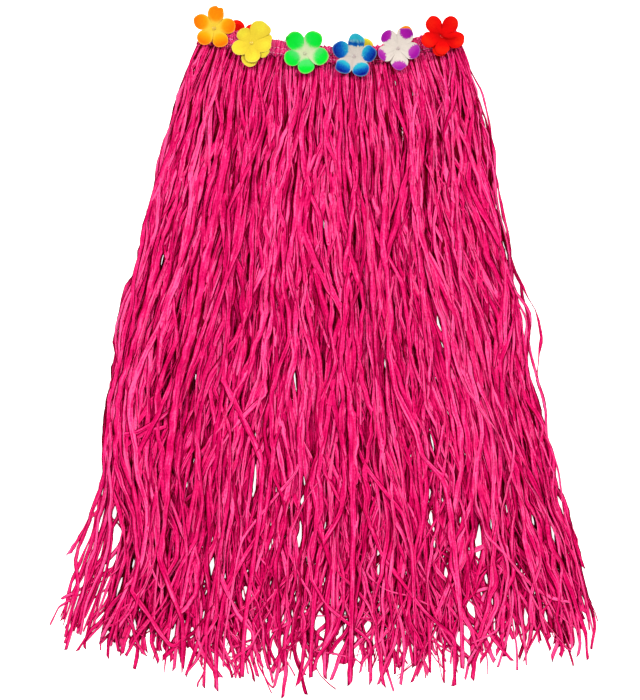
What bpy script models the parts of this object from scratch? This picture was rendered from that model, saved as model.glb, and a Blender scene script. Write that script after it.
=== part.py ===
"""A raffia grass skirt with a garland of cloth flowers, laid flat on its back.

The waist is at +Y, the hem at -Y, and the front faces up. The skirt is a tube: its back half lies on
the surface, and its front half lies on the back half. The fringe is a plain solid of its reach.
The origin is at the middle of the whole outline, on the surface that the skirt lies on.
"""
import math

import bmesh
import bpy
import numpy
from mathutils import Matrix

# Driving dimensions, in metres.
GAP = 0.0003                # between pieces that meet
BAND_HEIGHT = 0.020         # gathered heading over the elastic
BAND_THICKNESS = 0.0025     # raffia gathered over elastic, one half of the tube
SIDE_THICKNESS = 0.0022     # each half of the fringe along its side edges
CLOTH = 0.001               # stiffened flower cloth
FLOWER_RADIUS = 0.0275
FLOWER_CUP = 0.005          # rise of a front petal's tip above its flower's middle
LAYER_STEP = 0.0022         # from one petal layer's underside to the next one's
STUD_RADIUS = 0.0027
STUD_HEIGHT = 0.0008
STUD_TAPER = 0.7            # its outer face's radius over its inner one's
PETALS = 5
NOTCH = 0.5                 # depth of the notch between petals, as a share of the flower's radius
LOBE_ROUNDNESS = 0.35       # power that turns a cosine wave into round petals
SPOKES = PETALS * 6
RINGS = (0.0, 0.34, 0.68, 1.0)

# Heights of the flat layers at the waist, from the surface up.
LOW_FLOWER = STUD_HEIGHT + GAP
HIGH_FLOWER = LOW_FLOWER + CLOTH + GAP
BACK_BAND = HIGH_FLOWER + CLOTH + GAP
FRONT_BAND = BACK_BAND + BAND_THICKNESS + GAP
FRONT_FLOWER = FRONT_BAND + BAND_THICKNESS + GAP
SECOND_LAYER = FRONT_FLOWER + LAYER_STEP

# The top edge of the waistband, which sags in a shallow curve: share across from the left, height up.
WAIST = {
    "share": (0.0, 0.135, 0.285, 0.5, 0.69, 0.86, 1.0),
    "up": (0.4056, 0.4006, 0.3913, 0.3819, 0.3825, 0.3950, 0.4020),
}

# The side edges of the fanned skirt at heights from the waist down to the hem's corners.
SIDES = {
    "up": (0.406, 0.375, 0.340, 0.265, 0.190, 0.115, 0.040, -0.035, -0.110, -0.185, -0.260, -0.335, -0.365),
    "left": (
        -0.145, -0.158, -0.172, -0.193, -0.213, -0.230, -0.249,
        -0.262, -0.271, -0.279, -0.304, -0.330, -0.341,
    ),
    "right": (
        0.170, 0.182, 0.195, 0.216, 0.226, 0.242, 0.262,
        0.274, 0.288, 0.300, 0.317, 0.335, 0.341,
    ),
}

# The reach of the longest strands along the ragged hem.
HEM = {
    "share": (0.0, 0.10, 0.25, 0.40, 0.55, 0.66, 0.80, 0.92, 1.0),
    "up": (-0.365, -0.388, -0.415, -0.4318, -0.420, -0.427, -0.412, -0.395, -0.365),
}

# The pile of strands from the waistband's lower edge (0) to the hem (1): the underside, which is lifted
# over the back flowers, the face where the two halves meet, and the top.
PILE = {
    "down": (0.0, 0.05, 0.10, 0.18, 0.30, 0.45, 0.60, 0.75, 0.88, 1.0),
    "underside": (BACK_BAND, BACK_BAND, 0.0, 0.0, 0.0, 0.0, 0.0, 0.0, 0.0, 0.0),
    "middle": (0.0069, 0.0072, 0.0080, 0.0088, 0.0090, 0.0090, 0.0085, 0.0075, 0.0060, 0.0030),
    "top": (0.0092, 0.0102, 0.0130, 0.0160, 0.0175, 0.0175, 0.0165, 0.0145, 0.0115, 0.0060),
}
PILE_ROWS = PILE["down"]
FRINGE_COLUMNS = 22
BAND_COLUMNS = 22

# The garland, in metres and degrees. A flower's petals are its five lengths, from the one at its turn
# on, anticlockwise from above. Its height is that of the cloth's underside.
EVEN = (FLOWER_RADIUS,) * PETALS
FLOWERS = (
    # name, across, up, turn, height, petals
    ("orange_front", -0.1313, 0.4044, 10, FRONT_FLOWER, (0.0270, 0.0275, 0.0270, 0.0265, 0.0265)),
    ("yellow_under", -0.0830, 0.3835, -30, FRONT_FLOWER, (0.0230, 0.0240, 0.0200, 0.0230, 0.0280)),
    ("yellow_front", -0.0845, 0.3858, -12, SECOND_LAYER, (0.0230, 0.0295, 0.0220, 0.0260, 0.0250)),
    ("green_front", -0.0175, 0.3731, -14, FRONT_FLOWER, (0.0300, 0.0300, 0.0310, 0.0275, 0.0265)),
    ("blue_front", 0.0438, 0.3694, 9, FRONT_FLOWER, (0.0280, 0.0280, 0.0290, 0.0280, 0.0285)),
    ("purple_front", 0.0988, 0.3794, -12, FRONT_FLOWER, (0.0280, 0.0275, 0.0270, 0.0270, 0.0280)),
    ("red_under", 0.1530, 0.3937, -25, FRONT_FLOWER, (0.0230, 0.0230, 0.0230, 0.0230, 0.0250)),
    ("red_front", 0.1538, 0.3944, -18, SECOND_LAYER, (0.0290, 0.0270, 0.0280, 0.0270, 0.0240)),
    ("red_back", -0.0975, 0.3905, 38, LOW_FLOWER, EVEN),
    ("purple_back", -0.0613, 0.3640, 0, HIGH_FLOWER, EVEN),
    ("blue_back", -0.0238, 0.3570, 16, LOW_FLOWER, EVEN),
    ("green_back", 0.0163, 0.3545, -8, HIGH_FLOWER, EVEN),
    ("yellow_back", 0.0545, 0.3665, 8, LOW_FLOWER, EVEN),
    ("orange_back", 0.1053, 0.3818, 8, HIGH_FLOWER, EVEN),
)

COLOURS = {
    "raffia": (0.83, 0.010, 0.130),
    "orange": (1.00, 0.300, 0.010),
    "yellow": (0.93, 0.800, 0.050),
    "green": (0.02, 0.750, 0.070),
    "blue": (0.01, 0.060, 0.450),
    "purple": (0.35, 0.020, 0.450),
    "red": (0.85, 0.010, 0.010),
    "stud": (0.80, 0.720, 0.620),
}


def smooth_value(table, at, key, column):
    """Reads a column of a table at a value of its key column, along a smooth curve through the rows."""
    keys = numpy.array(table[key], float)
    values = numpy.array(table[column], float)
    order = numpy.argsort(keys)
    keys = keys[order]
    values = values[order]
    slopes = numpy.gradient(values, keys)
    at = min(max(at, keys[0]), keys[-1])
    row = min(int(numpy.searchsorted(keys, at, side="right")) - 1, len(keys) - 2)
    step = keys[row + 1] - keys[row]
    t = (at - keys[row]) / step
    start = (1 + 2 * t) * (1 - t) ** 2 * values[row] + t * (1 - t) ** 2 * step * slopes[row]
    end = t * t * (3 - 2 * t) * values[row + 1] + t * t * (t - 1) * step * slopes[row + 1]
    return start + end


def across_at(share, up):
    """The place across the fanned skirt of a share of its width, at a height up."""
    left = smooth_value(SIDES, up, "up", "left")
    right = smooth_value(SIDES, up, "up", "right")
    return left + share * (right - left)


def band_point(share, down):
    """A point of the waistband: down is 0 at its top edge and 1 at its lower edge."""
    up = smooth_value(WAIST, share, "share", "up") - down * BAND_HEIGHT
    return across_at(share, up), up


def fringe_point(share, down):
    """A point of the fringe: down is 0 just under the waistband and 1 at the hem."""
    top = smooth_value(WAIST, share, "share", "up") - BAND_HEIGHT - GAP
    hem = smooth_value(HEM, share, "share", "up")
    up = top + down * (hem - top)
    return across_at(share, up), up


def material(name):
    """A plain Principled material in one of the skirt's colours."""
    made = bpy.data.materials.get(name) or bpy.data.materials.new(name)
    made.use_nodes = True
    shader = made.node_tree.nodes["Principled BSDF"]
    shader.inputs["Base Color"].default_value = (*COLOURS[name], 1.0)
    shader.inputs["Roughness"].default_value = 0.3 if name == "stud" else 0.6
    shader.inputs["Metallic"].default_value = 0.0
    return made


def add_object(name, mesh_builder, material_name):
    """Makes the scene object of one piece from its finished bmesh."""
    mesh = bpy.data.meshes.new(name)
    mesh_builder.to_mesh(mesh)
    mesh_builder.free()
    mesh.materials.append(material(material_name))
    piece = bpy.data.objects.new(name, mesh)
    bpy.context.scene.collection.objects.link(piece)
    return piece


def thicken(sheet, rise):
    """Turns an open sheet into a closed wall. rise gives each point's thickness, straight up."""
    bmesh.ops.triangulate(sheet, faces=sheet.faces[:], quad_method="FIXED")
    thickness = {vert: rise(vert) for vert in sheet.verts}
    lower = sheet.faces[:]
    grown = bmesh.ops.extrude_face_region(sheet, geom=lower, use_keep_orig=True)["geom"]
    upper = [vert for vert in grown if isinstance(vert, bmesh.types.BMVert)]
    places = {tuple(vert.co): value for vert, value in thickness.items()}
    for vert in upper:
        vert.co.z += places[tuple(vert.co)]
    bmesh.ops.recalc_face_normals(sheet, faces=sheet.faces[:])


def grid_sheet(columns, rows):
    """A flat grid whose points hold their share across in x and their row's share down in y."""
    sheet = bmesh.new()
    bmesh.ops.create_grid(sheet, x_segments=columns, y_segments=rows, size=0.5)
    for vert in sheet.verts:
        vert.co.x += 0.5
        vert.co.y += 0.5
    return sheet


def fringe(name, lower, upper, flat_underside):
    """One half of the fringe: a layer of strands between two columns of the pile table."""
    sheet = grid_sheet(FRINGE_COLUMNS, len(PILE_ROWS) - 1)
    thickness = {}
    for vert in sheet.verts:
        share = vert.co.x
        down = PILE_ROWS[round(vert.co.y * (len(PILE_ROWS) - 1))]
        bulge = 1 - abs(2 * share - 1) ** 4
        bottom = numpy.interp(down, PILE_ROWS, PILE[lower])
        top = numpy.interp(down, PILE_ROWS, PILE[upper])
        if flat_underside:
            edge_bottom = bottom
        else:
            underside = numpy.interp(down, PILE_ROWS, PILE["underside"])
            edge_bottom = underside + SIDE_THICKNESS + GAP
            bottom += GAP
        edge_top = edge_bottom + SIDE_THICKNESS
        floor = edge_bottom + bulge * (bottom - edge_bottom)
        across, up = fringe_point(share, down)
        vert.co = (across, up, floor)
        thickness[(round(across, 6), round(up, 6))] = edge_top + bulge * (top - edge_top) - floor
    thicken(sheet, lambda vert: thickness[(round(vert.co.x, 6), round(vert.co.y, 6))])
    return add_object(name, sheet, "raffia")


def waistband(name, height):
    """One half of the gathered heading, a flat curved strip."""
    sheet = grid_sheet(BAND_COLUMNS, 1)
    for vert in sheet.verts:
        across, up = band_point(vert.co.x, vert.co.y)
        vert.co = (across, up, height)
    thicken(sheet, lambda vert: BAND_THICKNESS)
    return add_object(name, sheet, "raffia")


def petal_reach(angle, petals):
    """How far the outline reaches in a direction, with a round lobe on the axis of each petal."""
    notch = NOTCH * sum(petals) / PETALS
    nearest = round(angle * PETALS / math.tau) % PETALS
    lobe = abs(math.cos(angle * PETALS / 2)) ** LOBE_ROUNDNESS
    return notch + (petals[nearest] - notch) * lobe


def flower(name, across, up, turn, height, petals, cup):
    """A cloth flower: a spun disc drawn out into petals, whose tips stand up by the cup."""
    sheet = bmesh.new()
    spoke = [sheet.verts.new((share, 0.0, 0.0)) for share in RINGS]
    edges = [sheet.edges.new(pair) for pair in zip(spoke, spoke[1:])]
    bmesh.ops.spin(
        sheet, geom=spoke + edges, cent=(0, 0, 0), axis=(0, 0, 1),
        angle=math.tau, steps=SPOKES, use_merge=True,
    )
    bmesh.ops.remove_doubles(sheet, verts=sheet.verts[:], dist=1e-6)
    for vert in sheet.verts:
        reach = petal_reach(math.atan2(vert.co.y, vert.co.x), petals)
        vert.co.x *= reach
        vert.co.y *= reach
        vert.co.z = cup * (vert.co.to_2d().length / FLOWER_RADIUS) ** 2
    thicken(sheet, lambda vert: CLOTH)
    sheet.transform(Matrix.Translation((across, up, height)) @ Matrix.Rotation(math.radians(turn), 4, "Z"))
    return add_object("flower_" + name, sheet, name.split("_")[0])


def stud(name, across, up, base):
    """The small clear stud through a flower's middle, narrower at its outer end."""
    disc = bmesh.new()
    bmesh.ops.create_cone(
        disc, cap_ends=True, segments=10, radius1=STUD_RADIUS, radius2=STUD_RADIUS * STUD_TAPER,
        depth=STUD_HEIGHT,
    )
    outward = 1 if base > BACK_BAND else -1
    if outward < 0:
        disc.transform(Matrix.Rotation(math.pi, 4, "X"))
    disc.transform(Matrix.Translation((across, up, base + outward * STUD_HEIGHT / 2)))
    return add_object("stud_" + name, disc, "stud")


def garland():
    """All the flowers, with a stud on each but the under layers."""
    for name, across, up, turn, height, petals in FLOWERS:
        in_front = height > BACK_BAND
        flower(name, across, up, turn, height, petals, FLOWER_CUP if in_front else 0.0)
        if name.endswith("_under"):
            continue
        if in_front:
            stud(name, across, up, height + CLOTH + 1.5 * GAP)
        else:
            stud(name, across, up, height - GAP)


for old in list(bpy.data.objects):
    bpy.data.objects.remove(old, do_unlink=True)
fringe("raffia_back", "underside", "middle", flat_underside=True)
fringe("raffia_front", "middle", "top", flat_underside=False)
waistband("waistband_back", BACK_BAND)
waistband("waistband_front", FRONT_BAND)
garland()
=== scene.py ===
import math
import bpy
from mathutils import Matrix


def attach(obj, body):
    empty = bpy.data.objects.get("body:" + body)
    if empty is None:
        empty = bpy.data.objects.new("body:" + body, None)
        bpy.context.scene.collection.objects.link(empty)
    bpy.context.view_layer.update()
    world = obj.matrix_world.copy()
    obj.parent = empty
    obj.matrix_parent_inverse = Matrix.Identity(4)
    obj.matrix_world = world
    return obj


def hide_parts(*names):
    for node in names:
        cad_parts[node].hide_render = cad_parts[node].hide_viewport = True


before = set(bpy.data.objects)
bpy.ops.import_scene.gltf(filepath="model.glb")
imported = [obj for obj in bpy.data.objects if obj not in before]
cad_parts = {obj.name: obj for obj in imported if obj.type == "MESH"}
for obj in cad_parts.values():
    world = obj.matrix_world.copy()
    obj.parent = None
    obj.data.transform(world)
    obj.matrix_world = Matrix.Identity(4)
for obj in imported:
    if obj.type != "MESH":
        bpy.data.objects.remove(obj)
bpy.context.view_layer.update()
from types import SimpleNamespace

import bmesh
import bpy
import numpy as np
from mathutils import Matrix, Vector

# ------------------------------------------------------------
# Raffia skirt: several hundred dyed paper ribbons, gathered by the waistband and cut by hand at
# the hem. The tube is pressed flat with the front up. Each ribbon is led down its own lane and
# then laid on those already down. Sizes are in metres; "up" is towards the waist, along +Y.
# ------------------------------------------------------------
WAIST = {
    "share": (0.0, 0.135, 0.285, 0.5, 0.69, 0.86, 1.0),
    "up": (0.4056, 0.4006, 0.3913, 0.3819, 0.3825, 0.3950, 0.4020),
}
SIDES = {
    "up": (-0.365, -0.335, -0.260, -0.185, -0.110, -0.035, 0.040, 0.115, 0.190, 0.265, 0.340, 0.375, 0.406),
    "left": (
        -0.341, -0.330, -0.304, -0.279, -0.271, -0.262, -0.249,
        -0.230, -0.213, -0.193, -0.172, -0.158, -0.145,
    ),
    "right": (0.341, 0.335, 0.317, 0.300, 0.288, 0.274, 0.262, 0.242, 0.226, 0.216, 0.195, 0.182, 0.170),
}
HEM = {
    "share": (0.0, 0.10, 0.16, 0.22, 0.30, 0.42, 0.55, 0.75, 0.90, 1.0),
    "up": (-0.374, -0.380, -0.396, -0.408, -0.424, -0.430, -0.428, -0.420, -0.398, -0.376),
}
STATIONS = 104              # points along a ribbon
CORNERS = 4                 # points round a ribbon's section
PAPER = 0.00025             # thickness of a folded ribbon's wall
draw = np.random.default_rng(11)


def between(low, high, count):
    """A number for each ribbon, anywhere between the two."""
    return draw.uniform(low, high, (count, 1))


def about_nought(size, count):
    """A number for each ribbon, scattered about nought."""
    return draw.normal(0, size, (count, 1))


def a_few(fraction, count):
    """Picks about that fraction of the ribbons by chance."""
    return draw.random((count, 1)) < fraction


def either_way(count):
    return draw.choice((-1, 1), (count, 1))


def along_curve(table, key, column, at):
    """Reads a table's column at values of its key, along a smooth curve through its rows."""
    keys = np.array(table[key], float)
    values = np.array(table[column], float)
    slopes = np.gradient(values, keys)
    at = np.clip(at, keys[0], keys[-1])
    row = np.clip(np.searchsorted(keys, at, side="right") - 1, 0, len(keys) - 2)
    gap = keys[row + 1] - keys[row]
    t = (at - keys[row]) / gap
    start = (1 + 2 * t) * (1 - t) ** 2 * values[row] + t * (1 - t) ** 2 * gap * slopes[row]
    end = t * t * (3 - 2 * t) * values[row + 1] + t * t * (t - 1) * gap * slopes[row + 1]
    return start + end


def waist_up(share):
    return along_curve(WAIST, "share", "up", share)


def across_at(share, up):
    left = along_curve(SIDES, "up", "left", up)
    right = along_curve(SIDES, "up", "right", up)
    return left + share * (right - left)


def ease(low, high, at):
    """Goes smoothly from 0 at low to 1 at high."""
    t = np.clip((at - low) / (high - low), 0, 1)
    return t * t * (3 - 2 * t)


def hump(off, reach):
    """1 where off is nought, and smoothly down to nothing over about twice the reach."""
    return np.exp(-((off / reach) ** 2))


def wander(at, waves, each=2, scatter=0.7, form=np.sin):
    """A smooth drift of each ribbon: for each (shortest, longest, size), two waves of that kind."""
    count = len(at)
    drift = np.zeros_like(at)
    for shortest, longest, size in waves:
        for _ in range(each):
            wave = between(shortest, longest, count)
            start = between(0, math.tau, count)
            drift += size * about_nought(scatter, count) * form(math.tau * at / wave + start)
    return drift


def crimps(at, waves):
    """Small kinks of stiff paper: like a drift, but straight between its turns, and one wave of a kind."""
    return wander(at, waves, 1, 1, lambda angle: np.arcsin(np.sin(angle)))


def shared_flow(lane, at):
    """A drift that neighbouring ribbons of a layer share, so that they part and close up together."""
    drift = np.zeros_like(at)
    for _ in range(16):
        across = draw.uniform(2.0, 11.0)
        along = draw.uniform(-3.0, 3.0)
        size = draw.normal(0, 0.9) * 0.0075 / (1 + 0.22 * across)
        drift += size * np.sin(math.tau * (across * lane + along * at) + draw.uniform(0, math.tau))
    return drift


def bunching(lane, at):
    """Draws neighbouring ribbons together in bunches, at the stitching and here and there lower down."""
    pull = np.zeros_like(at)
    for centre, shift, reach, strength, number in (
        (0.03, 0.010, 0.055, 0.85, 56),
        (0.085, 0.025, 0.036, 0.95, 48),
        (0.145, 0.040, 0.045, 0.80, 42),
        (0.27, 0.050, 0.055, 0.60, 38),
        (0.40, 0.050, 0.055, 0.55, 34),
        (0.53, 0.050, 0.060, 0.55, 30),
        (0.66, 0.050, 0.060, 0.50, 26),
    ):
        place = lane * number + draw.uniform(0, 1)
        bunch = np.floor(place).astype(int)
        middle = 0.5 + draw.uniform(-0.22, 0.22, number + 2)[bunch]
        station = centre + draw.uniform(-shift, shift, number + 2)[bunch]
        hold = strength * draw.uniform(0.3, 1.4, number + 2)[bunch]
        pull += (middle - (place - bunch)) / number * hold * hump(at - station, reach)
    return pull


CORNER_LANES = 0.075        # the lower left corner's ribbons come from the lanes up to here
SPLAY = (-0.13, -0.28)      # the heights between which some of them part from the rest


def hang(count, cut):
    """Gives each ribbon its lane and its length, and its stations from the heading's top to its cut end."""
    lane = (np.arange(count) + draw.uniform(0, 1, count)) / count
    draw.shuffle(lane)
    lane = lane[:, None]
    thin = np.where(a_few(0.15, count), between(0.30, 0.50, count), 1.0)
    top = waist_up(lane) + draw.normal(-0.0003, 0.0010, (count, 1))
    short = between(*cut, count) - between(0.00, 0.012, count) * (thin < 1)
    short = np.where(lane < CORNER_LANES, 0.55 * short, short)
    tufts = 0.006 * np.sin(math.tau * (10 * lane + 0.2)) + 0.006 * np.sin(math.tau * (19 * lane + 0.55))
    hem = along_curve(HEM, "share", "up", lane) + short + tufts
    lean = (across_at(lane, hem) - across_at(lane, top)) / (top - hem)
    slant = np.sqrt(1 + lean**2)
    length = (top - hem) * slant
    fraction = np.linspace(0, 1, STATIONS)[None, :]
    at = length * (1.30 * fraction - 0.30 * fraction**2)
    splayed = (lane < CORNER_LANES) & a_few(0.38, count)
    return {
        "lane": lane, "thin": np.where(splayed, 0.60 * thin, thin), "splayed": splayed,
        "length": length, "at": at, "up": top - at / slant, "calm": np.ones((count, 1)),
    }


def stray(layer, straying):
    """Leads the ribbons sideways: each drifts, they bunch, the fringe fans out and its corner splays."""
    lane, at, up, splayed = (layer[key] for key in ("lane", "at", "up", "splayed"))
    count = len(lane)
    drift = wander(at, ((0.35, 0.70, 0.0045), (0.16, 0.32, 0.0012)))
    drift += crimps(
        at, ((0.25, 0.50, 0.0040), (0.12, 0.25, 0.0026), (0.06, 0.12, 0.0009), (0.025, 0.05, 0.0003)),
    )
    crosses = a_few(0.09, count) * either_way(count) * between(0.03, 0.10, count)
    drift += crosses * (at - 0.3 * layer["length"])
    drift = np.where(splayed, 0.6 * drift, drift)
    drift += shared_flow(lane, at) * straying
    fan = np.where(lane < 0.5, -0.032, 0.010) * np.sin(math.tau * lane) ** 2
    leaning = (np.arange(count)[:, None] % 3 == 0) & (lane < 0.5)
    drift += np.where(leaning, 2.2 * fan, fan) * ease(0.33, 0.60, at)
    width = across_at(1.0, up) - across_at(0.0, up)
    share = lane + bunching(lane, at) * straying + drift * ease(0.010, 0.12, at) / width
    share = np.where(share < 0, -share, share)
    share = np.where(share > 1, 2 - share, share)
    low = ease(SPLAY[0], SPLAY[1], up)
    inside = np.where(splayed, 0.004 + (0.006 + 0.20 * lane) * low, 0.006 + 0.106 * low)
    beside = 0.018 * ease(0.36, 0.25, up) - 0.022 * ease(-0.02, -0.16, up)
    share = share + inside * (1 - share) ** 6 - beside * share**3
    layer["across"] = across_at(share, up)


STRAYS = (
    # side, from, to, reach: loose ribbons that bow out beside the skirt
    (1, 0.370, 0.170, 0.010), (1, 0.310, 0.050, 0.0125), (1, 0.245, 0.110, 0.006),
    (1, 0.200, -0.040, 0.012), (1, 0.120, -0.120, 0.015), (1, 0.080, -0.060, 0.009),
    (1, -0.020, -0.190, 0.012), (1, -0.110, -0.290, 0.008),
    (-1, 0.330, 0.215, 0.013), (-1, 0.110, -0.020, 0.010), (-1, -0.150, -0.260, 0.006),
)


def bow_out(layer):
    """Takes a ribbon near the side for each stray one, and bows it out between its two heights."""
    for side, start, finish, reach in STRAYS:
        chosen = np.abs(layer["lane"] - (side > 0)).ravel().argsort()[draw.integers(0, 4)]
        along = (start - layer["up"][chosen]) / (start - finish)
        bow = np.minimum(ease(0, 0.35, along), ease(1, 0.6, along))
        layer["across"][chosen] += side * reach * bow
        layer["thin"][chosen] = 0.75


BENDS = (
    # how far above the cut end, size of the turn in radians
    (0.26, 0.11), (0.17, 0.15), (0.11, 0.20), (0.07, 0.22), (0.04, 0.12),
)


def bend(layer):
    """Lower down the ribbons bend a few times, and some free ends curl or flick aside."""
    lane, at, up, across = (layer[key] for key in ("lane", "at", "up", "across"))
    length = layer["length"]
    count = len(lane)
    run_across = np.diff(across, axis=1)
    run_up = np.diff(up, axis=1)
    run = np.hypot(run_across, run_up)
    angle = np.arctan2(run_up, run_across)
    middle = (at[:, 1:] + at[:, :-1]) / 2
    held = 1 - 0.75 * np.maximum(ease(0.16, 0.06, lane), ease(0.86, 0.95, lane))
    for above, size in BENDS:
        bend_at = length - above * between(0.7, 1.3, count)
        angle += held * about_nought(size, count) * ease(bend_at - 0.004, bend_at + 0.004, middle)
    free = between(0.04, 0.12, count)
    turn = about_nought(0.12, count) * np.where(layer["thin"] < 1, 5.0, 1.0)
    wild = a_few(0.03, count)
    turn = np.where(wild, either_way(count) * between(0.8, 1.7, count), turn)
    free = np.where(wild, 0.6 * free, free)
    kinked = a_few(0.06, count)
    kink = either_way(count) * between(0.5, 1.5, count) * kinked
    kink_at = length - between(0.012, 0.10, count)
    flick = turn * np.clip(1 - (length - middle) / free, 0, 1) ** 1.2
    flick += kink * ease(kink_at - 0.003, kink_at + 0.003, middle)
    ends = across[:, :1] + np.cumsum(run * np.cos(angle + flick), 1)
    over = (ends < across_at(0.0, up[:, 1:]) - 0.002) | (ends > across_at(1.0, up[:, 1:]) + 0.002)
    over = (over & (at[:, 1:] > 0.1)).any(1)[:, None]
    angle += np.where(over | layer["splayed"], 0.1, 1.0) * flick
    for key, part_of_run in (("across", run * np.cos(angle)), ("up", run * np.sin(angle))):
        gone = np.concatenate([np.zeros((count, 1)), np.cumsum(part_of_run, 1)], 1)
        layer[key] = layer[key][:, :1] + gone


def keep_in(layer):
    """Draws in what has strayed past the skirt's sides; on the right, thin ribbons may reach further."""
    up = layer["up"]
    across = layer["across"]
    leftmost = across_at(0.0, up) - 0.002
    rightmost = across_at(1.0, up) + 0.004
    further = 0.016 * (layer["thin"] < 1) * ease(0.36, 0.30, up) * ease(-0.28, -0.20, up)
    rightmost += further + 0.006 * ease(-0.30, -0.33, up)
    across = np.where(across < leftmost, leftmost + 0.2 * (across - leftmost), across)
    layer["across"] = np.where(across > rightmost, rightmost + 0.2 * (across - rightmost), across)


PARTINGS = (
    # across, up, half its width, half its length: where one sees through the skirt
    (-0.2575, -0.202, 0.0024, 0.011), (-0.255, -0.226, 0.002, 0.01), (-0.2325, -0.267, 0.0024, 0.016),
    (-0.021, -0.223, 0.0012, 0.02), (0.1775, -0.214, 0.0014, 0.01), (0.19, -0.219, 0.0014, 0.012),
    (0.202, -0.217, 0.0014, 0.012), (0.145, -0.243, 0.001, 0.009), (0.1635, -0.247, 0.0012, 0.01),
    (0.1885, -0.248, 0.0012, 0.009), (0.2015, -0.243, 0.0012, 0.01), (0.216, -0.216, 0.0012, 0.01),
    (0.269, -0.214, 0.002, 0.012), (0.294, -0.235, 0.0024, 0.03), (0.299, -0.27, 0.0016, 0.01),
    (0.21, -0.286, 0.0016, 0.012), (0.2175, -0.311, 0.002, 0.011), (0.191, -0.326, 0.0042, 0.014),
    (0.185, -0.352, 0.0034, 0.01), (-0.248, -0.292, 0.0024, 0.018), (0.104, 0.02, 0.001, 0.01),
    (0.26, -0.34, 0.0018, 0.014), (0.285, -0.33, 0.0016, 0.012), (0.305, -0.196, 0.002, 0.014),
    (-0.1475, 0.376, 0.0006, 0.007), (0.0925, -0.006, 0.0004, 0.006), (0.1075, -0.007, 0.0004, 0.006),
    (0.1225, 0.003, 0.0004, 0.007), (0.1165, -0.042, 0.0004, 0.008), (0.001, -0.342, 0.007, 0.018),
    (-0.0175, -0.326, 0.0014, 0.006), (-0.046, -0.336, 0.0014, 0.006), (-0.065, -0.335, 0.001, 0.007),
    (-0.091, -0.358, 0.006, 0.016), (0.0625, -0.343, 0.003, 0.012), (0.049, -0.313, 0.0006, 0.008),
    (0.074, -0.322, 0.0008, 0.012), (0.063, -0.292, 0.0006, 0.009), (0.075, -0.274, 0.0008, 0.009),
    (0.0475, -0.277, 0.0006, 0.008), (0.035, -0.338, 0.001, 0.008), (0.084, -0.355, 0.0016, 0.016),
)


def part(layer):
    """Opens each parting: the ribbons that would cover it are pushed to the side they are on."""
    up = layer["up"]
    for middle, height, gap, reach in PARTINGS:
        place = middle + 0.6 * middle * (height - up)
        nearest = np.abs(up - height).argmin(1)[:, None]
        side = np.where(np.take_along_axis(layer["across"], nearest, 1) < middle, -1.0, 1.0)
        off = side * (layer["across"] - place)
        clear = gap + 0.0024 * ease(0.40, 0.25, height)
        clear = clear * np.clip(1.25 - np.abs(up - height) / (1.5 * reach), 0, 1)
        pushed = np.hypot(np.maximum(off, 0), clear) - np.maximum(off, 0)
        layer["across"] = layer["across"] + side * hump(off, 0.03) * pushed


LED = (
    # width, then turning points: ribbons of the lower left corner with paths of their own
    (1.7, ((-0.2325, -0.298), (-0.2133, -0.3286), (-0.1996, -0.3516), (-0.1834, -0.3731),
           (-0.1671, -0.3569))),
    (1.7, ((-0.2403, -0.29), (-0.248, -0.315), (-0.256, -0.328), (-0.2728, -0.3578))),
    (0.8, ((-0.289, -0.213), (-0.302, -0.2456), (-0.315, -0.2756), (-0.3169, -0.297),
           (-0.324, -0.316), (-0.3258, -0.3354), (-0.3284, -0.3516), (-0.3352, -0.3577),
           (-0.3454, -0.3598))),
    (0.8, ((-0.302, -0.246), (-0.312, -0.29), (-0.315, -0.33), (-0.322, -0.366))),
    (1.0, ((-0.298, -0.262), (-0.3, -0.296), (-0.313, -0.335), (-0.319, -0.359))),
    (1.0, ((-0.29, -0.25), (-0.311, -0.306), (-0.315, -0.328), (-0.31, -0.364))),
    (0.7, ((-0.286, -0.27), (-0.296, -0.308), (-0.319, -0.348))),
    (0.8, ((-0.28, -0.28), (-0.293, -0.316), (-0.3, -0.356))),
)
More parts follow.
